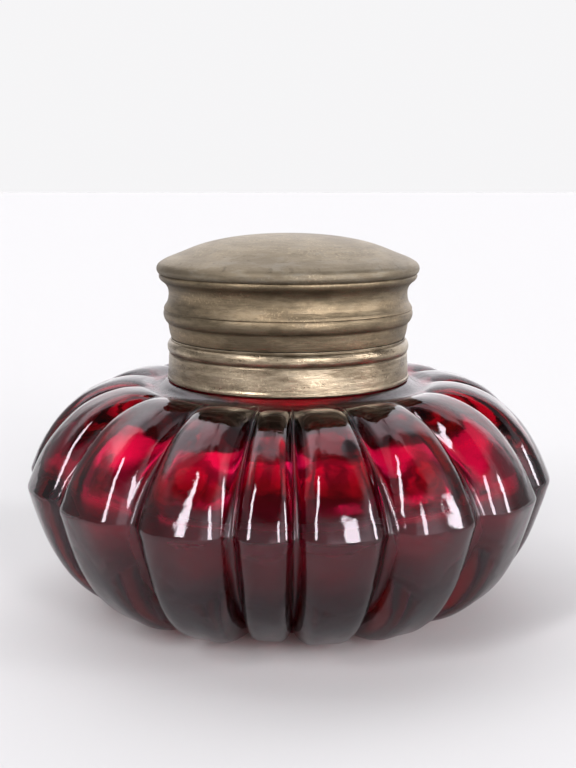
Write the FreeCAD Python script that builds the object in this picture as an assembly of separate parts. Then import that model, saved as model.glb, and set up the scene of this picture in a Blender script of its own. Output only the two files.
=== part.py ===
"""Ribbed glass inkwell with a brass screw lid.

Units are millimetres, +Z is up. The origin is on the bottle's axis, in the plane it stands on.
Every height below the "heights" heading is measured from that plane.
"""
import FreeCAD, Part
import math
import os

V = FreeCAD.Vector
Z_AXIS = V(0, 0, 1)
ORIGIN = V(0, 0, 0)

# ---- heights ---------------------------------------------------------------------------------
edge_z = 20.4            # sharp edge round the widest part of the glass
shoulder_z = edge_z + 13.1   # where the ribs run out below the neck
seat_z = edge_z + 14.1       # flat seat round the neck, under the collar
collar_bottom_z = edge_z + 14.25
collar_top_z = edge_z + 18.4
lid_stop_z = edge_z + 20.5   # top of the neck ring's bead, the closed lid stands 0.1 above it
sleeve_top_z = edge_z + 28.0
mouth_z = edge_z + 28.4
cup_top_z = edge_z + 30.9
flange_top_z = edge_z + 31.0

# ---- ribs ------------------------------------------------------------------------------------
# Angles are measured from the front (-Y), positive towards +X. The six ribs at the front are as
# uneven as hand-finished glass, the rest share what is left of the circle equally.
front_valleys = [-57.0, -32.5, -11.0, 1.5, 20.5, 42.5, 68.0]
front_valleys_at_foot = [-59.0, -36.0, -15.5, 1.5, 21.0, 45.0, 69.0]
back_ribs = 10
normal_rib = 22.5        # a rib narrower than this bulges less

# Rib shape as (radius, height from the edge) for the crest and the valley beside it.
upper_crest = [
    (40.0, 0.0), (38.5, 3.4), (36.6, 6.6), (34.3, 9.3), (31.7, 11.5),
    (28.7, 13.0), (25.7, 13.8), (22.9, 13.8), (20.8, 13.1),
]
upper_valley = [
    (36.7, 0.0), (35.1, 2.7), (33.0, 5.2), (30.6, 7.3), (28.2, 9.0),
    (25.8, 10.5), (23.9, 12.2), (22.2, 12.9), (20.8, 13.1),
]
lower_crest = [
    (40.0, 0.0), (38.6, -4.8), (36.8, -9.5), (34.3, -13.4),
    (31.0, -16.5), (27.2, -18.7), (23.0, -19.9), (18.0, -20.4),
]
lower_valley = [
    (36.7, 0.0), (34.9, -4.4), (32.6, -8.4), (29.7, -11.6),
    (26.2, -14.2), (22.6, -16.4), (19.8, -18.8), (17.6, -20.4),
]

# The ink space follows the ribs. From the edge of its floor to the foot of the neck, measured alike.
inner_crest = [
    (12.0, -10.4), (19.0, -10.0), (24.0, -9.0), (28.4, -6.9), (32.0, -3.6),
    (34.2, 0.3), (33.2, 3.4), (30.8, 5.9), (27.6, 7.6), (23.8, 8.4),
    (20.0, 8.7), (16.2, 9.0), (13.0, 9.9), (11.0, 11.8), (10.1, 14.5),
]
inner_valley = [
    (12.0, -10.4), (18.4, -10.0), (23.0, -9.0), (26.8, -6.9), (30.0, -3.6),
    (32.0, 0.3), (30.8, 3.4), (28.6, 5.9), (25.8, 7.6), (22.6, 8.4),
    (19.3, 8.7), (15.9, 9.0), (12.9, 9.9), (11.0, 11.8), (10.1, 14.5),
]

# ---- glass -----------------------------------------------------------------------------------
neck_r = 14.0
neck_fillet = 0.8
bore_r = 10.1
seat_r = 18.6
foot_flat_inner_r = 12.5     # the flat ring it stands on runs from here to the end of the ribs
punt_depth = 0.9

# ---- brass -----------------------------------------------------------------------------------
collar_r = 18.3
collar_inner_r = 17.5
bead_r = 18.35
sleeve_inner_r = 14.7
sleeve_r = 15.6
skirt_r = 17.85
cup_r = 17.0
cup_inner_r = 16.55
lid_edge_r = 19.8
rim_inner_r = 19.3       # the dome's hem closes round the skirt's rim here
dome_t = 0.7

# ---- screw thread, right-handed ----------------------------------------------------------------
thread_pitch = 2.5
outer_thread_r = 16.25
inner_thread_r = 15.9
thread_root_w = 1.0
thread_crest_w = 0.6
thread_sink = 0.15       # how deep the ridge is let into the wall it grows from

# ---- sealing disc ------------------------------------------------------------------------------
disc_r = 16.15
disc_t = 2.0


def at_edge(points):
    """Move (radius, height from the edge) pairs to heights from the base."""
    return [(r, z + edge_z) for r, z in points]


def spline(points):
    """Smooth curve in the XZ plane through (radius, height) pairs."""
    curve = Part.BSplineCurve()
    curve.interpolate([V(r, 0, z) for r, z in points])
    return curve.toShape()


def line(a, b):
    """Straight edge in the XZ plane between two (radius, height) pairs."""
    return Part.makeLine(V(a[0], 0, a[1]), V(b[0], 0, b[1]))


def chain(points):
    """Straight edges through a run of (radius, height) pairs."""
    return [line(a, b) for a, b in zip(points[:-1], points[1:])]


def turned(edges):
    """Solid of revolution about the axis from a closed run of edges."""
    wire = Part.Wire(Part.__sortEdges__(edges))
    solid = Part.Face(wire).revolve(ORIGIN, Z_AXIS, 360)
    if solid.Volume < 0:
        solid.reverse()
    return solid


def ring(inner_r, outer_r, bottom, top):
    """Plain ring of rectangular section."""
    corners = [(inner_r, bottom), (outer_r, bottom), (outer_r, top), (inner_r, top)]
    return turned(chain(corners + corners[:1]))


# ---- glass body --------------------------------------------------------------------------------
def valley_angles(front):
    """Angles of all the valleys: the uneven front ones, then the even ones round the back."""
    step = (360.0 + front[0] - front[-1]) / back_ribs
    return front + [front[-1] + step * k for k in range(1, back_ribs)]


def from_front(r, z, angle):
    """Point at a radius, a height from the edge and an angle from the front."""
    a = math.radians(angle)
    return V(r * math.sin(a), -r * math.cos(a), z + edge_z)


def rib_wire(crest, valley, angles):
    """Closed run of arcs, one over each rib."""
    arcs = []
    for k, start in enumerate(angles):
        end = angles[k + 1] if k + 1 < len(angles) else angles[0] + 360.0
        swell = min(1.0, (end - start) / normal_rib) ** 0.7
        r = valley[0] + (crest[0] - valley[0]) * swell
        z = valley[1] + (crest[1] - valley[1]) * swell
        left = from_front(valley[0], valley[1], start)
        middle = from_front(r, z, (start + end) / 2)
        right = from_front(valley[0], valley[1], end)
        arcs.append(Part.Arc(left, middle, right).toShape())
    return Part.Wire(arcs)


def ribbed_half(crests, valleys, end_valleys):
    """Half of the ribbed body, from the sharp edge to where the ribs run out."""
    wires = []
    start = valley_angles(front_valleys)
    end = valley_angles(end_valleys)
    last = len(crests) - 1
    for i in range(len(crests)):
        drift = (i / last) ** 2
        angles = [a + (b - a) * drift for a, b in zip(start, end)]
        wires.append(rib_wire(crests[i], valleys[i], angles))
    return Part.makeLoft(wires, True, False)


def neck():
    """Shoulder, seat for the collar and plain neck, reaching down into the ribbed body."""
    shoulder_r = upper_crest[-1][0]
    profile = chain([
        (shoulder_r, shoulder_z),
        (shoulder_r, shoulder_z - 2.0),
        (0.0, shoulder_z - 2.0),
        (0.0, mouth_z),
        (neck_r, mouth_z),
        (neck_r, seat_z + neck_fillet),
    ])
    mid = neck_fillet * (1 - math.sqrt(0.5))
    fillet = Part.Arc(
        V(neck_r, 0, seat_z + neck_fillet),
        V(neck_r + mid, 0, seat_z + mid),
        V(neck_r + neck_fillet, 0, seat_z),
    )
    profile.append(fillet.toShape())
    profile.append(line((neck_r + neck_fillet, seat_z), (seat_r, seat_z)))
    slope = at_edge([(seat_r, 14.1), (19.2, 13.5), (20.0, 13.2), (shoulder_r, 13.1)])
    profile.append(spline(slope))
    return turned(profile)


def ink_space():
    """Ribbed hollow with a straight bore up past the mouth."""
    wires = []
    angles = valley_angles(front_valleys)
    for crest, valley in zip(inner_crest, inner_valley):
        wires.append(rib_wire(crest, valley, angles))
    hollow = Part.makeLoft(wires, True, False)
    bottom = edge_z + inner_crest[-1][1] - 0.5
    bore = Part.makeCylinder(bore_r, mouth_z + 1.0 - bottom, V(0, 0, bottom), Z_AXIS)
    return hollow.fuse(bore)


def punt():
    """Shallow hollow under the foot, as a slice of a ball."""
    ball_r = (foot_flat_inner_r ** 2 + punt_depth ** 2) / (2 * punt_depth)
    ball = Part.makeSphere(ball_r, V(0, 0, punt_depth - ball_r))
    return ball


def make_glass_body():
    upper = ribbed_half(upper_crest, upper_valley, front_valleys)
    lower = ribbed_half(lower_crest, lower_valley, front_valleys_at_foot)
    body = upper.fuse(lower).fuse(neck()).removeSplitter()
    body = body.cut(punt())
    return body.cut(ink_space())


# ---- brass on the neck -------------------------------------------------------------------------
def make_cement_bed():
    wide = ring(neck_r, collar_inner_r, seat_z, collar_top_z)
    narrow = ring(neck_r, sleeve_inner_r, collar_top_z, sleeve_top_z)
    wide = wide.cut(neck())
    return wide.fuse(narrow).removeSplitter()


def make_collar_band():
    lip = 0.12
    profile = chain([
        (collar_r, collar_bottom_z + 0.7),
        (collar_r + lip, collar_bottom_z + 0.45),
        (collar_r + lip, collar_bottom_z + 0.15),
        (collar_r - 0.1, collar_bottom_z),
        (collar_inner_r, collar_bottom_z),
        (collar_inner_r, collar_top_z),
        (collar_r - 0.35, collar_top_z),
        (collar_r - 0.15, collar_top_z - 0.3),
        (collar_r, collar_bottom_z + 0.7),
    ])
    return turned(profile)


def helical_ridge(root_r, crest_r, start_z, turns, phase):
    """Trapezoid ridge along a right-handed helix, growing from the wall at root_r to crest_r."""
    sunk_r = root_r - thread_sink if crest_r > root_r else root_r + thread_sink
    helix = Part.makeHelix(thread_pitch, thread_pitch * turns, sunk_r)
    root = thread_root_w / 2
    crest = thread_crest_w / 2
    corners = [V(sunk_r, 0, -root), V(crest_r, 0, -crest), V(crest_r, 0, crest), V(sunk_r, 0, root)]
    section = Part.makePolygon(corners + corners[:1])
    ridge = Part.Wire(helix).makePipeShell([section], True, True)
    ridge.rotate(ORIGIN, Z_AXIS, phase)
    ridge.translate(V(0, 0, start_z))
    return ridge


def make_neck_ring():
    bead_bottom = collar_top_z
    bead_top = lid_stop_z - 0.4
    profile = chain([
        (sleeve_r, lid_stop_z),
        (sleeve_r, sleeve_top_z - 0.2),
        (sleeve_r - 0.2, sleeve_top_z),
        (sleeve_inner_r, sleeve_top_z),
        (sleeve_inner_r, bead_bottom),
        (bead_r - 0.3, bead_bottom),
    ])
    bead = Part.Arc(
        V(bead_r - 0.3, 0, bead_bottom),
        V(bead_r, 0, (bead_bottom + bead_top) / 2),
        V(bead_r - 0.35, 0, bead_top),
    )
    profile.append(bead.toShape())
    profile += chain([
        (bead_r - 0.35, bead_top),
        (skirt_r - 0.05, bead_top + 0.1),
        (skirt_r - 0.05, lid_stop_z),
        (sleeve_r, lid_stop_z),
    ])
    ridge = helical_ridge(sleeve_r, outer_thread_r, lid_stop_z + 1.3, 2.0, 0.0)
    return turned(profile).fuse(ridge)


# ---- lid ---------------------------------------------------------------------------------------
def make_lid_skirt():
    bottom = lid_stop_z + 0.1
    rolled_rim = at_edge([(rim_inner_r, 30.15), (19.48, 29.9), (19.4, 29.5), (19.12, 29.15)])
    waist = at_edge([
        (19.12, 29.15), (18.62, 28.75), (18.22, 28.15), (18.05, 27.3),
        (18.12, 26.5), (18.38, 25.75), (18.68, 25.3), (18.8, 24.95),
    ])
    groove = at_edge([(18.8, 24.95), (18.72, 24.78)])
    bead = at_edge([(18.72, 24.78), (18.84, 24.5), (18.86, 24.05), (18.72, 23.5), (18.5, 23.1)])
    foot = at_edge([(18.5, 23.1), (18.28, 22.9), (18.12, 22.2), (18.0, 21.5), (skirt_r, 20.9)])
    back = at_edge([(cup_r, 22.9), (17.7, 23.5), (17.85, 24.6), (17.6, 26.0), (cup_r, 27.2)])
    profile = [spline(rolled_rim), spline(waist), line(*groove), spline(bead), spline(foot)]
    profile += chain([
        foot[-1],
        (skirt_r - 0.1, bottom),
        (cup_r, bottom),
        back[0],
    ])
    profile.append(spline(back))
    profile += chain([back[-1], (cup_r, flange_top_z), (rim_inner_r, flange_top_z), rolled_rim[0]])
    return turned(profile)


def make_lid_dome():
    top = at_edge([
        (0.0, 36.0), (5.0, 35.8), (10.0, 35.15), (14.0, 34.1),
        (16.9, 32.95), (18.5, 32.3), (19.2, 31.9),
    ])
    hem = at_edge([(19.2, 31.9), (19.62, 31.5), (lid_edge_r, 30.95), (19.68, 30.45), (19.42, 30.15)])
    under = at_edge([(0.0, 36.0 - dome_t), (5.0, 35.1), (10.0, 34.45), (14.0, 33.4), (16.6, 32.35)])
    under += [(18.2, flange_top_z + 0.45), (19.0, flange_top_z)]
    profile = [spline(top), spline(hem), spline(under)]
    profile += chain([under[-1], (rim_inner_r, flange_top_z), (rim_inner_r, hem[-1][1]), hem[-1]])
    profile.append(line(top[0], under[0]))
    return turned(profile)


def make_lid_thread_cup():
    bottom = lid_stop_z + 0.4
    inside_top = mouth_z + disc_t
    corners = [
        (cup_r, bottom),
        (cup_r, cup_top_z),
        (0.0, cup_top_z),
        (0.0, inside_top),
        (cup_inner_r, inside_top),
        (cup_inner_r, bottom),
    ]
    cup = turned(chain(corners + corners[:1]))
    ridge = helical_ridge(cup_inner_r, inner_thread_r, lid_stop_z + 1.3, 1.25, 180.0)
    return cup.fuse(ridge)


def make_sealing_disc():
    return Part.makeCylinder(disc_r, disc_t, V(0, 0, mouth_z), Z_AXIS)


nodes = {
    "glass_body": make_glass_body,
    "cement_bed": make_cement_bed,
    "collar_band": make_collar_band,
    "neck_ring": make_neck_ring,
    "lid_skirt": make_lid_skirt,
    "lid_dome": make_lid_dome,
    "lid_thread_cup": make_lid_thread_cup,
    "sealing_disc": make_sealing_disc,
}

os.makedirs("parts", exist_ok=True)
for name, make in nodes.items():
    shape = make()
    if len(shape.Solids) != 1 or not shape.isValid():
        raise RuntimeError(name + " is not one valid solid")
    shape.Solids[0].exportStep("parts/" + name + ".step")
    print(name, round(shape.Volume), "mm3")
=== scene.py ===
"""Looks of the ribbed ruby glass inkwell: glass, brass, cork, plaster, a pale floor and soft light."""
import math
import bpy
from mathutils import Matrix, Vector, noise


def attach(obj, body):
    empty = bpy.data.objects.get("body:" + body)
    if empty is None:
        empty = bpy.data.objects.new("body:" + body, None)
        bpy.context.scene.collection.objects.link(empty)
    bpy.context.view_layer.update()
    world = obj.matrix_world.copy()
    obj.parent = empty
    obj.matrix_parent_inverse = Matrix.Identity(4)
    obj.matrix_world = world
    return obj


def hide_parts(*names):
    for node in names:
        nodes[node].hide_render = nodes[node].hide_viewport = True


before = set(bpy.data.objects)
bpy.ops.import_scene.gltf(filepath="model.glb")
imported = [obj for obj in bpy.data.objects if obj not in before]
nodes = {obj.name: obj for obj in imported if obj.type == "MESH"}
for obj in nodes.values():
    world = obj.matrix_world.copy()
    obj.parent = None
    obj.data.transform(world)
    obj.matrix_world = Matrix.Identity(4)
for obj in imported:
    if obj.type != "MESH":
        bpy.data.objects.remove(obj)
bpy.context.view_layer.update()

MM = 0.001

# ---- sizes in millimetres, as in the CAD -----------------------------------------------------
EDGE_Z = 20.4            # sharp edge round the widest part of the glass
SEAT_Z = EDGE_Z + 14.1
MOUTH_Z = EDGE_Z + 28.4
NECK_R = 14.0
NECK_FILLET = 0.8
BORE_R = 10.1
SEAT_R = 18.6
FOOT_FLAT_INNER_R = 12.5
PUNT_DEPTH = 0.9
LIP = 0.25               # chamfer of the mouth, inside and outside

# Angles of the valleys from the front, the even ribs round the back, and the width of a full rib.
FRONT_VALLEYS = [-57.0, -32.5, -11.0, 1.5, 20.5, 42.5, 68.0]
FRONT_VALLEYS_AT_FOOT = [-59.0, -36.0, -15.5, 1.5, 21.0, 45.0, 69.0]
BACK_RIBS = 10
NORMAL_RIB = 22.5

# Outlines of rib crests and valleys, and of the ink space, as (radius, height from the edge).
UPPER_CREST = [
    (40.0, 0.0), (38.5, 3.4), (36.6, 6.6), (34.3, 9.3), (31.7, 11.5),
    (28.7, 13.0), (25.7, 13.8), (22.9, 13.8), (20.8, 13.1),
]
UPPER_VALLEY = [
    (36.7, 0.0), (35.1, 2.7), (33.0, 5.2), (30.6, 7.3), (28.2, 9.0),
    (25.8, 10.5), (23.9, 12.2), (22.2, 12.9), (20.8, 13.1),
]
LOWER_CREST = [
    (40.0, 0.0), (38.6, -4.8), (36.8, -9.5), (34.3, -13.4),
    (31.0, -16.5), (27.2, -18.7), (23.0, -19.9), (18.0, -20.4),
]
LOWER_VALLEY = [
    (36.7, 0.0), (34.9, -4.4), (32.6, -8.4), (29.7, -11.6),
    (26.2, -14.2), (22.6, -16.4), (19.8, -18.8), (17.6, -20.4),
]
INNER_CREST = [
    (12.0, -10.4), (19.0, -10.0), (24.0, -9.0), (28.4, -6.9), (32.0, -3.6),
    (34.2, 0.3), (33.2, 3.4), (30.8, 5.9), (27.6, 7.6), (23.8, 8.4),
    (20.0, 8.7), (16.2, 9.0), (13.0, 9.9), (11.0, 11.8), (10.1, 14.5),
]
INNER_VALLEY = [
    (12.0, -10.4), (18.4, -10.0), (23.0, -9.0), (26.8, -6.9), (30.0, -3.6),
    (32.0, 0.3), (30.8, 3.4), (28.6, 5.9), (25.8, 7.6), (22.6, 8.4),
    (19.3, 8.7), (15.9, 9.0), (12.9, 9.9), (11.0, 11.8), (10.1, 14.5),
]
# Neck and shoulder from the mouth down to the ribs, as (radius, height over the base).
NECK = [
    (NECK_R - LIP, MOUTH_Z),
    (NECK_R, MOUTH_Z - LIP),
    (NECK_R, MOUTH_Z - 4),
    (NECK_R, SEAT_Z + NECK_FILLET),
    (NECK_R + 0.25, SEAT_Z + 0.25),
    (NECK_R + NECK_FILLET, SEAT_Z),
    (SEAT_R - 0.6, SEAT_Z),
    (SEAT_R, SEAT_Z - 0.05),
    (19.1, EDGE_Z + 13.6),
    (19.7, EDGE_Z + 13.25),
    (20.3, EDGE_Z + 13.1),
]

# ---- finish of the glass -----------------------------------------------------------------------
STEPS_PER_RIB = 24
ROWS_PER_HALF = 56       # rows of points over the ribs, above the edge and below it
ROWS_PER_LEVEL = 5       # rows of points from one level of the ink space to the next
VALLEY_STEPS = 5         # the valleys are rounded over this many steps each side
VALLEY_PULL = 0.008      # share of the radius the bend is drawn in by, which keeps a valley's depth
FLATNESS = 0.6           # how much fuller than an arc a rib is beside its crest, from its rise
EDGE_ABOVE = 0.14        # the edge is rounded from here, in levels of the upper half,
EDGE_BELOW = 0.10        # to here, in levels of the lower half
WAVES = 0.16             # depth of the waves in the surface, mm
VALLEY_GRIME = 0.85
COLLAR_GRIME_AND_SHADE = 0.65
COLLAR_GRIME_AND_SHADE_ROWS = 12   # the grime and the painted shade under the collar fade out over this many rows
# The next two numbers place the painted shade that darkens the sides of the ribs.
FLANK_END = 9.0          # a rib's flank reaches this many steps from the valley
FLANK_FADE = 4.0


# ---- small helpers -----------------------------------------------------------------------------
def through(points, s):
    """Point at index s, whole or part, on the smooth curve through points."""
    last = len(points) - 1
    i = min(int(s), last - 1)
    t = s - i
    p1, p2 = points[i], points[i + 1]
    p0 = points[i - 1] if i > 0 else tuple(2 * a - b for a, b in zip(p1, p2))
    p3 = points[i + 2] if i + 2 <= last else tuple(2 * b - a for a, b in zip(p1, p2))
    out = []
    for a, b, c, d in zip(p0, p1, p2, p3):
        square = (2 * a - 5 * b + 4 * c - d) * t * t
        cube = (3 * b - a - 3 * c + d) * t ** 3
        out.append(0.5 * (2 * b + (c - a) * t + square + cube))
    return tuple(out)


def mix(a, b, t):
    return tuple(x + (y - x) * t for x, y in zip(a, b))


def bend(a, corner, b, t):
    """Point at t on the smooth bend from a to b that a corner point draws towards itself."""
    return a * (1 - t) ** 2 + corner * 2 * t * (1 - t) + b * t * t


def between(value, low, high):
    return min(high, max(low, value))


def make_object(name, verts_mm, faces):
    """Mesh object from points in millimetres."""
    mesh = bpy.data.meshes.new(name)
    mesh.from_pydata([[c * MM for c in v] for v in verts_mm], [], faces)
    mesh.validate()
    mesh.polygons.foreach_set("use_smooth", [True] * len(mesh.polygons))
    obj = bpy.data.objects.new(name, mesh)
    bpy.context.scene.collection.objects.link(obj)
    return obj


def grid_faces(rows, columns):
    """Quads of a closed band of rows, each with the same number of points."""
    faces = []
    for i in range(rows - 1):
        a, b = i * columns, (i + 1) * columns
        for j in range(columns):
            k = (j + 1) % columns
            faces.append((a + j, b + j, b + k, a + k))
    return faces


# ---- glass -------------------------------------------------------------------------------------
def valley_angles(front):
    """Angles of all the valleys: the uneven front ones, then the even ones round the back."""
    step = (360.0 + front[0] - front[-1]) / BACK_RIBS
    return front + [front[-1] + step * k for k in range(1, BACK_RIBS)]


def from_front(r, z, angle):
    a = math.radians(angle)
    return Vector((r * math.sin(a), -r * math.cos(a), z + EDGE_Z))


def rib_row(crest, valley, angles):
    """Points of one closed run of arcs, one arc over each rib."""
    row = []
    for k, start in enumerate(angles):
        end = angles[k + 1] if k + 1 < len(angles) else angles[0] + 360.0
        swell = min(1.0, (end - start) / NORMAL_RIB) ** 0.7
        r, z = mix(valley, crest, swell)
        left = from_front(valley[0], valley[1], start)
        middle = from_front(r, z, (start + end) / 2)
        right = from_front(valley[0], valley[1], end)
        chord = (left + right) / 2
        rise = (middle - chord).length
        half = (right - left).length / 2
        radius = (half * half + rise * rise) / (2 * rise)
        up = (middle - chord) / rise
        along = (right - left) / (2 * half)
        reach = math.atan2(half, radius - rise)
        centre = middle - up * radius
        for j in range(STEPS_PER_RIB):
            # the steps are closer together towards the valleys
            a = reach * math.sin(math.pi / 2 * (2 * j / STEPS_PER_RIB - 1))
            side = math.sin(a) / math.sin(reach)
            fuller = FLATNESS * rise * (side ** 2 - side ** 4)
            on_arc = centre + (up * math.cos(a) + along * math.sin(a)) * radius
            row.append(on_arc + up * fuller)
    return row


def rounded_valleys(row):
    """The same row with each valley bent smoothly from one rib into the next."""
    out = list(row)
    n = VALLEY_STEPS
    for v in range(0, len(row), STEPS_PER_RIB):
        start, end = row[v - n], row[(v + n) % len(row)]
        valley = row[v] * Vector((1 - VALLEY_PULL, 1 - VALLEY_PULL, 1))
        for j in range(-n, n):
            out[v + j] = bend(start, valley, end, (j + n) / (2 * n))
    return out


def ribbed_rows():
    """Rows of the ribbed outside, from the foot of the neck down to the foot of the bottle."""
    start = valley_angles(FRONT_VALLEYS)
    foot = valley_angles(FRONT_VALLEYS_AT_FOOT)
    top = len(UPPER_CREST) - 1
    end = len(LOWER_CREST) - 1

    def upper(s):
        return rib_row(through(UPPER_CREST, s), through(UPPER_VALLEY, s), start)

    def lower(s):
        drift = (s / end) ** 2
        angles = [a + (b - a) * drift for a, b in zip(start, foot)]
        return rib_row(through(LOWER_CREST, s), through(LOWER_VALLEY, s), angles)

    rows = []
    for i in range(ROWS_PER_HALF):
        rows.append(upper(top + (EDGE_ABOVE - top) * i / (ROWS_PER_HALF - 1)))
    above, edge, below = upper(EDGE_ABOVE), upper(0.0), lower(EDGE_BELOW)
    for t in (0.2, 0.4, 0.6, 0.8):
        rows.append([bend(a, e, b, t) for a, e, b in zip(above, edge, below)])
    for i in range(ROWS_PER_HALF):
        rows.append(lower(EDGE_BELOW + (end - EDGE_BELOW) * i / (ROWS_PER_HALF - 1)))
    return rows


def round_row(r, z, like):
    """Ring at a radius and a height over the base, its points at the angles of another row's."""
    return [Vector((r * p.x, r * p.y, z * p.xy.length)) / p.xy.length for p in like]


def waves(row):
    """Slight hand-made unevenness of blown glass."""
    out = []
    for p in row:
        slow = noise.noise(p * 0.075 + Vector((3.1, 7.7, 1.3)))
        quick = noise.noise(p * 0.22 + Vector((11.0, 2.0, 5.0)))
        shift = WAVES * (0.7 * slow + 0.3 * quick - 0.5)
        outward = Vector((p.x, p.y, 0)).normalized()
        out.append(p + outward * shift)
    return out


def inner_rows(like):
    """Rows of the ink space, from near the middle of its floor up to the mouth."""
    angles = valley_angles(FRONT_VALLEYS)
    floor_z = INNER_CREST[0][1] + EDGE_Z
    rows = [round_row(r, floor_z, like) for r in (3.0, 7.5)]
    last = len(INNER_CREST) - 1
    for i in range(last * ROWS_PER_LEVEL + 1):
        s = i / ROWS_PER_LEVEL
        rows.append(rib_row(through(INNER_CREST, s), through(INNER_VALLEY, s), angles))
    bore = [(BORE_R, SEAT_Z + 5.0), (BORE_R, MOUTH_Z - LIP), (BORE_R + LIP, MOUTH_Z)]
    rows += [round_row(r, z, like) for r, z in bore]
    return rows


def foot_rows(like):
    """Rings from the ends of the ribs over the flat foot and into the shallow punt."""
    rows = [round_row(r, 0.0, like) for r in (17.0, 15.0, FOOT_FLAT_INNER_R + 0.2)]
    for t in (0.0, 0.15, 0.35, 0.6, 0.85):
        rows.append(round_row(FOOT_FLAT_INNER_R * (1 - t), PUNT_DEPTH * (1 - (1 - t) ** 2), like))
    return rows


def closed_glass(name, rows, poles):
    """Closed mesh from a band of rows whose two ends shut on points on the axis."""
    columns = len(rows[0])
    verts = [v for row in rows for v in row]
    faces = grid_faces(len(rows), columns)
    first, last = len(verts), len(verts) + 1
    verts += [Vector((0, 0, z)) for z in poles]
    end = (len(rows) - 1) * columns
    for j in range(columns):
        k = (j + 1) % columns
        faces.append((first, j, k))
        faces.append((last, end + k, end + j))
    return make_object(name, verts, faces)


def glass_finish(band, inside, ribs):
    """How clouded or grimy each point of the glass is, and how much painted shade darkens it on the
    sides of the ribs and under the collar.
    """
    columns = len(ribs[0])
    shift = len(inside)
    first_rib = shift + len(NECK)
    count = len(band) * columns + 2
    clouded = [0.0] * count
    flank_shade = [0.0] * count
    for i, v in enumerate(v for row in band for v in row):
        row = i // columns
        if row < shift - 3:
            # the wall of the ink space is clouded, most of all where the ink stood
            clouded[i] = 0.32 + 0.68 * between((EDGE_Z + 3.0 - v.z) / 4.5, 0.0, 1.0)
        elif first_rib <= row < first_rib + len(ribs):
            step = min(i % STEPS_PER_RIB, STEPS_PER_RIB - i % STEPS_PER_RIB)
            clouded[i] = VALLEY_GRIME * max(0.0, 1.0 - step / VALLEY_STEPS)
            # painted shade: the sides of each rib are darkened, a little more below the edge
            lower = between((EDGE_Z - v.z) / 5.0, 0.0, 1.0)
            reach = between((FLANK_END + lower - step) / FLANK_FADE, 0.0, 1.0)
            flank_shade[i] = reach * (0.8 + 0.2 * lower)
        # under the collar the glass is clouded by grime and its colour darkened by painted shade
        if shift <= row < first_rib + COLLAR_GRIME_AND_SHADE_ROWS:
            near = min(1.0, (first_rib + COLLAR_GRIME_AND_SHADE_ROWS - row) / COLLAR_GRIME_AND_SHADE_ROWS)
            clouded[i] = max(clouded[i], COLLAR_GRIME_AND_SHADE * near)
            flank_shade[i] = max(flank_shade[i], COLLAR_GRIME_AND_SHADE * near)
    return clouded, flank_shade


def make_glass():
    """The whole bottle as one closed skin: ink space, mouth, neck, ribs and foot."""
    ribs = [waves(rounded_valleys(row)) for row in ribbed_rows()]
    inside = inner_rows(ribs[0])
    outside = [round_row(r, z, ribs[0]) for r, z in NECK] + ribs + foot_rows(ribs[-1])
    # one band: up the inside, over the mouth, down the outside
    band = inside + outside
    obj = closed_glass("glass_bottle", band, (EDGE_Z + INNER_CREST[0][1], PUNT_DEPTH))
    clouded, flank_shade = glass_finish(band, inside, ribs)
    obj.data.attributes.new("clouded", "FLOAT", "POINT").data.foreach_set("value", clouded)
    obj.data.attributes.new("flank_shade", "FLOAT", "POINT").data.foreach_set("value", flank_shade)
    return obj


# ---- materials ---------------------------------------------------------------------------------
class Graph:
    """Short way to write a node material, or the world's nodes."""

    def __init__(self, owner, out="ShaderNodeOutputMaterial"):
        self.owner = owner
        owner.use_nodes = True
        self.tree = owner.node_tree
        self.tree.nodes.clear()
        self.out = self.tree.nodes.new(out)

    def finish(self, surface, volume=None):
        self.tree.links.new(surface.outputs[0], self.out.inputs["Surface"])
        if volume is not None:
            self.tree.links.new(volume.outputs[0], self.out.inputs["Volume"])
        return self.owner

    def node(self, kind, inputs=None, **settings):
        n = self.tree.nodes.new("ShaderNode" + kind)
        for key, value in settings.items():
            setattr(n, key, value)
        for key, value in (inputs or {}).items():
            if isinstance(value, bpy.types.NodeSocket):
                self.tree.links.new(value, n.inputs[key])
            else:
                socket = n.inputs[key]
                short = socket.type == "RGBA" and len(value) == 3
                socket.default_value = (*value, 1.0) if short else value
        return n

    def where(self):
        """Place in the object, in metres."""
        return self.node("TexCoord").outputs["Object"]

    def split(self, vector):
        return self.node("SeparateXYZ", {0: vector}).outputs

    def join(self, x, y, z=0.0):
        return self.node("CombineXYZ", {0: x, 1: y, 2: z}).outputs[0]

    def math(self, operation, a, b=0.0, clamp=False):
        n = self.node("Math", {0: a, 1: b}, operation=operation, use_clamp=clamp)
        return n.outputs[0]

    def add(self, a, b):
        return self.math("ADD", a, b)

    def times(self, a, b, clamp=False):
        return self.math("MULTIPLY", a, b, clamp)

    def noise(self, vector, scale, detail=3.0, rough=0.5):
        inputs = {"Vector": vector, "Scale": scale, "Detail": detail, "Roughness": rough}
        return self.node("TexNoise", inputs).outputs["Fac"]

    def ramp(self, factor, stops):
        n = self.node("ValToRGB", {"Fac": factor})
        while len(n.color_ramp.elements) < len(stops):
            n.color_ramp.elements.new(0.5)
        for element, (place, colour) in zip(n.color_ramp.elements, stops):
            element.position = place
            element.color = colour if len(colour) == 4 else (*colour, 1.0)
        return n.outputs["Color"]

    def rise(self, factor, start, end, top=1.0):
        """Grey that climbs from nothing at start to top at end."""
        return self.ramp(factor, [(start, grey(0.0)), (end, grey(top))])

    def blend(self, factor, a, b):
        return self.node("Mix", {0: factor, 6: a, 7: b}, data_type="RGBA").outputs[2]

    def bump(self, height, strength, distance, under=None):
        inputs = {"Height": height, "Strength": strength, "Distance": distance}
        if under is not None:
            inputs["Normal"] = under
        return self.node("Bump", inputs).outputs[0]

    def smooth_step(self, value, start, end):
        inputs = {"Value": value, "From Min": start, "From Max": end}
        return self.node("MapRange", inputs, interpolation_type="SMOOTHSTEP").outputs[0]


def grey(v):
    return (v, v, v, 1.0)


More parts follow.
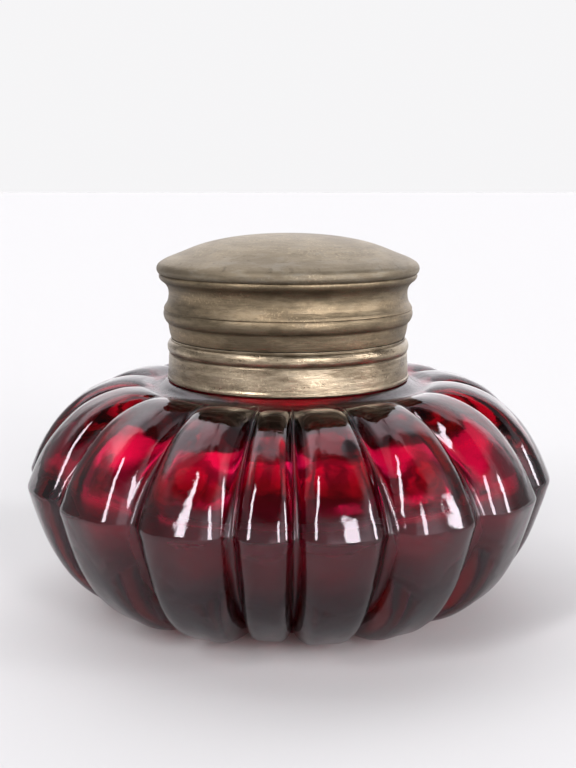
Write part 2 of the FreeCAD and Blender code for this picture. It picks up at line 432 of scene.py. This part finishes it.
def glass_material():
    """Ruby glass: absorbing inside, wavy and worn outside, with painted shade darkening its colour on
    the sides of the ribs, under the collar and where it is seen edge-on.
    """
    g = Graph(bpy.data.materials.new("ruby_glass"))
    where = g.where()
    wavy = g.noise(where, 260.0, 2.0)
    specks = g.noise(where, 2600.0, 2.0)
    bump = g.bump(g.add(wavy, g.times(specks, 0.05)), 0.28, 0.0004)

    tint = g.noise(where, 60.0, 3.0)
    tint = g.ramp(tint, [(0.35, (0.86, 0.11, 0.27)), (0.65, (0.95, 0.14, 0.33))])
    # Painted shade: the colour is darkened to a near-black purple on the sides of the ribs, under the
    # collar and where the glass is seen edge-on.
    flank_shade = g.node("Attribute", attribute_name="flank_shade").outputs["Fac"]
    facing = g.node("LayerWeight", {"Blend": 0.5}).outputs["Facing"]
    painted_shade = g.math("MAXIMUM", g.times(flank_shade, 0.6), g.rise(facing, 0.33, 0.60, 0.92))
    tint = g.blend(painted_shade, tint, (0.045, 0.01, 0.055))

    smear = g.ramp(g.noise(where, 90.0, 4.0), [(0.45, grey(0.008)), (0.75, grey(0.05))])
    clouded = g.node("Attribute", attribute_name="clouded").outputs["Fac"]
    smear = g.add(smear, g.times(clouded, 0.38))
    edge = {"Value": g.split(where)[2], "From Min": EDGE_Z * MM, "From Max": (EDGE_Z - 2.0) * MM}
    below_edge = g.node("MapRange", edge).outputs[0]
    smear = g.add(smear, g.times(below_edge, g.add(g.times(wavy, 0.16), 0.08)))

    surface = g.node("BsdfPrincipled", {
        "Base Color": tint,
        "Roughness": smear,
        "IOR": 1.57,
        "Transmission Weight": 1.0,
        "Specular Tint": (1.0, 0.91, 0.98),
        "Normal": bump,
    })
    volume = g.node("VolumeAbsorption", {"Color": (0.84, 0.0, 0.47), "Density": 375.0})
    return g.finish(surface, volume)


def brass_material(name, bright, dull, patina, rough, grooves):
    """Aged brass: brushed round the axis, with patina and bare specks, painted shade on its
    undersides, and grooves darkened by dirt and painted shade.

    The grooves are height over the base and half height in mm, and how much dirt and painted shade
    each gets.
    """
    g = Graph(bpy.data.materials.new(name))
    where = g.where()
    x, y, z = g.split(where)
    turn = g.math("ARCTAN2", x, y)
    radius = g.node("VectorMath", {0: g.join(x, y)}, operation="LENGTH").outputs["Value"]
    across = g.add(g.times(z, 9000.0), g.times(radius, 6000.0))

    def lines(length, width, detail=3.0):
        """Noise drawn out round the axis."""
        return g.noise(g.join(g.times(turn, length), g.times(across, width)), 1.0, detail, 0.6)

    brushed = lines(2.4, 0.8)
    streaks = lines(1.6, 0.16)
    dashes = lines(14.0, 0.8, 2.0)
    drawn = g.node("VectorMath", {0: where, 1: (1.0, 1.0, 3.5)}, operation="MULTIPLY")
    drawn = drawn.outputs["Vector"]
    blotches = g.noise(drawn, 80.0, 4.0, 0.6)
    mottle = g.noise(drawn, 260.0, 5.0, 0.68)
    grain = g.noise(where, 2600.0, 3.0, 0.7)

    patches = g.add(g.times(blotches, 0.5), g.times(mottle, 0.5))
    worn = g.ramp(patches, [(0.40, dull), (0.58, bright)])
    worn = g.blend(g.rise(streaks, 0.42, 0.68, 0.75), worn, dull)
    worn = g.blend(g.rise(mottle, 0.50, 0.66, 0.6), worn, patina)
    bare = g.times(g.rise(grain, 0.52, 0.66), g.rise(blotches, 0.48, 0.64, 0.6))
    worn = g.blend(bare, worn, tuple(min(1.0, c * 1.55) for c in bright))
    worn = g.blend(g.rise(dashes, 0.60, 0.74, 0.5), worn, tuple(c * 0.45 for c in dull))

    # Painted shade: faces that look down are darkened towards a near-black brown, and the grooves are
    # darkened by dirt and painted shade.
    up = g.split(g.node("NewGeometry").outputs["Normal"])[2]
    dirt_and_shade = g.times(up, -0.9, clamp=True)
    for height, half, amount in grooves:
        away = g.math("ABSOLUTE", g.math("SUBTRACT", z, height * MM))
        near = g.math("SUBTRACT", 1.0, g.math("DIVIDE", away, half * MM), clamp=True)
        dirt_and_shade = g.math("MAXIMUM", dirt_and_shade, g.times(near, amount))
    worn = g.blend(g.times(dirt_and_shade, 0.72), worn, (0.045, 0.032, 0.02))

    rough_map = g.add(g.times(mottle, 0.24), g.times(grain, 0.14))
    rough_map = g.add(rough_map, g.times(dirt_and_shade, 0.25))
    rough_map = g.add(rough_map, rough - 0.19)
    brushing = g.bump(g.add(g.times(brushed, 0.7), g.times(grain, 0.5)), 0.34, 0.00018)
    dents = g.bump(g.add(mottle, blotches), 0.15, 0.0006, brushing)
    return g.finish(g.node("BsdfPrincipled", {
        "Base Color": worn,
        "Metallic": 1.0,
        "Roughness": rough_map,
        "Normal": dents,
    }))


def cork_material():
    g = Graph(bpy.data.materials.new("cork"))
    where = g.where()
    grain = g.node("TexVoronoi", {"Vector": where, "Scale": 900.0}).outputs["Distance"]
    pits = g.noise(where, 500.0, 4.0, 0.6)
    browns = [(0.3, (0.16, 0.09, 0.045)), (0.55, (0.42, 0.27, 0.15)), (0.8, (0.5, 0.34, 0.2))]
    return g.finish(g.node("BsdfPrincipled", {
        "Base Color": g.ramp(pits, browns),
        "Roughness": 0.85,
        "Normal": g.bump(g.add(grain, pits), 0.5, 0.0003),
    }))


def plaster_material():
    g = Graph(bpy.data.materials.new("plaster"))
    lumps = g.noise(g.where(), 420.0, 5.0, 0.65)
    return g.finish(g.node("BsdfPrincipled", {
        "Base Color": g.ramp(lumps, [(0.3, (0.10, 0.06, 0.035)), (0.7, (0.42, 0.34, 0.25))]),
        "Roughness": 0.9,
        "Normal": g.bump(lumps, 0.6, 0.0004),
    }))


def set_material(obj, material):
    if obj.material_slots:
        for s in obj.material_slots:
            s.material = material
    else:
        obj.data.materials.append(material)


# ---- pieces ------------------------------------------------------------------------------------
glass = make_glass()
set_material(glass, glass_material())
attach(glass, "bottle")
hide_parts("glass_body")

collar_brass = brass_material(
    "collar_brass",
    bright=(0.50, 0.41, 0.285), dull=(0.175, 0.135, 0.09), patina=(0.30, 0.25, 0.185), rough=0.31,
    grooves=[(EDGE_Z + 18.4, 0.25, 0.9), (EDGE_Z + 14.2, 0.25, 1.0), (EDGE_Z + 20.3, 0.2, 0.9)],
)
lid_brass = brass_material(
    "lid_brass",
    bright=(0.295, 0.226, 0.142), dull=(0.135, 0.106, 0.069), patina=(0.21, 0.172, 0.12), rough=0.45,
    grooves=[(EDGE_Z + 30.15, 0.2, 0.35), (EDGE_Z + 22.95, 0.3, 0.55), (EDGE_Z + 20.55, 0.25, 1.0)],
)
dome_brass = brass_material(
    "dome_brass",
    bright=(0.30, 0.252, 0.18), dull=(0.185, 0.152, 0.107), patina=(0.252, 0.228, 0.19), rough=0.52,
    grooves=[(EDGE_Z + 30.15, 0.25, 0.4), (EDGE_Z + 31.0, 0.9, 0.2)],
)
set_material(nodes["collar_band"], collar_brass)
set_material(nodes["neck_ring"], collar_brass)
set_material(nodes["lid_skirt"], lid_brass)
set_material(nodes["lid_thread_cup"], lid_brass)
set_material(nodes["lid_dome"], dome_brass)
set_material(nodes["sealing_disc"], cork_material())
set_material(nodes["cement_bed"], plaster_material())


# ---- stage: floor, light, camera ---------------------------------------------------------------
def make_floor():
    size = 4.0
    corners = [(-size, -size, 0), (size, -size, 0), (size, size, 0), (-size, size, 0)]
    mesh = bpy.data.meshes.new("floor")
    mesh.from_pydata(corners, [], [(0, 1, 2, 3)])
    obj = bpy.data.objects.new("floor", mesh)
    obj.location.z = -0.0001
    bpy.context.scene.collection.objects.link(obj)
    g = Graph(bpy.data.materials.new("floor_paint"))
    paint = {"Base Color": (0.66, 0.66, 0.658), "Roughness": 0.9, "Specular IOR Level": 0.0}
    mesh.materials.append(g.finish(g.node("BsdfPrincipled", paint)))


# Light round the bottle, later ones on top: azimuth from and to, elevation from and to, softness,
# all in degrees, and strength. Azimuth is 0 in front of the bottle and positive to its right.
SKY = [
    (-70, 45, -90, 46, 12, 0.70),
    (45, 92, -90, 42, 8, 0.95),
    (-190, -150, -90, 60, 10, 1.6),
    (-165, -88, 36, 80, 10, 2.4),
    (128, 190, -90, 90, 8, 1.9),
    (-190, -100, 68, 95, 8, 1.4),
    (60, 190, 72, 95, 6, 1.6),
    (-190, 190, 82, 95, 4, 1.7),
    (-125, -50, -90, 32, 10, 0.36),
    (0, 64, -12, 28, 8, 1.9),
    (-64, 66, 36, 78, 6, 0.05),
    (-47, -37, 20, 56, 2, 18.0),
    (24, 35, 2, 35, 2, 17.5),
    (73, 83, 4, 28, 2, 17.5),
]
DIM_ROOM = 0.33          # strength of the light wherever nothing in SKY covers it


def make_world():
    """A pale backdrop behind and above, a dim room in front with a few tall bright windows."""
    world = bpy.data.worlds.new("studio")
    bpy.context.scene.world = world
    g = Graph(world, "ShaderNodeOutputWorld")
    x, y, z = g.split(g.node("TexCoord").outputs["Generated"])
    azimuth = g.math("DEGREES", g.math("ARCTAN2", x, g.times(y, -1.0)))
    elevation = g.math("DEGREES", g.math("ARCSINE", z))

    light = DIM_ROOM
    for left, right, low, high, soft, strength in SKY:
        inside = g.smooth_step(azimuth, left - soft, left + soft)
        inside = g.times(inside, g.smooth_step(azimuth, right + soft, right - soft))
        inside = g.times(inside, g.smooth_step(elevation, low - soft, low + soft))
        inside = g.times(inside, g.smooth_step(elevation, high + soft, high - soft))
        light = g.node("Mix", {0: inside, 2: light, 3: strength}).outputs[0]
    studio = g.node("Background", {"Color": (0.985, 0.97, 1.0), "Strength": light})
    seen = g.node("Background", {"Color": (0.92, 0.915, 0.925), "Strength": 1.0})
    path = g.node("LightPath").outputs["Is Camera Ray"]
    g.finish(g.node("MixShader", {0: path, 1: studio.outputs[0], 2: seen.outputs[0]}))


def make_camera():
    """Camera in front of the bottle and a little above it, looking down on it."""
    data = bpy.data.cameras.new("camera")
    data.sensor_width = 36.0
    data.lens = 53.9
    data.clip_start = 0.005
    data.clip_end = 20.0
    obj = bpy.data.objects.new("camera", data)
    obj.location = (0.0, -0.1743, 0.0652)
    obj.rotation_euler = (math.radians(90.0 - 10.36), 0.0, 0.0)
    bpy.context.scene.collection.objects.link(obj)
    bpy.context.scene.camera = obj


make_floor()
make_world()
make_camera()

scene = bpy.context.scene
scene.view_settings.view_transform = "Standard"
scene.cycles.max_bounces = 28
scene.cycles.transmission_bounces = 28
scene.cycles.transparent_max_bounces = 16
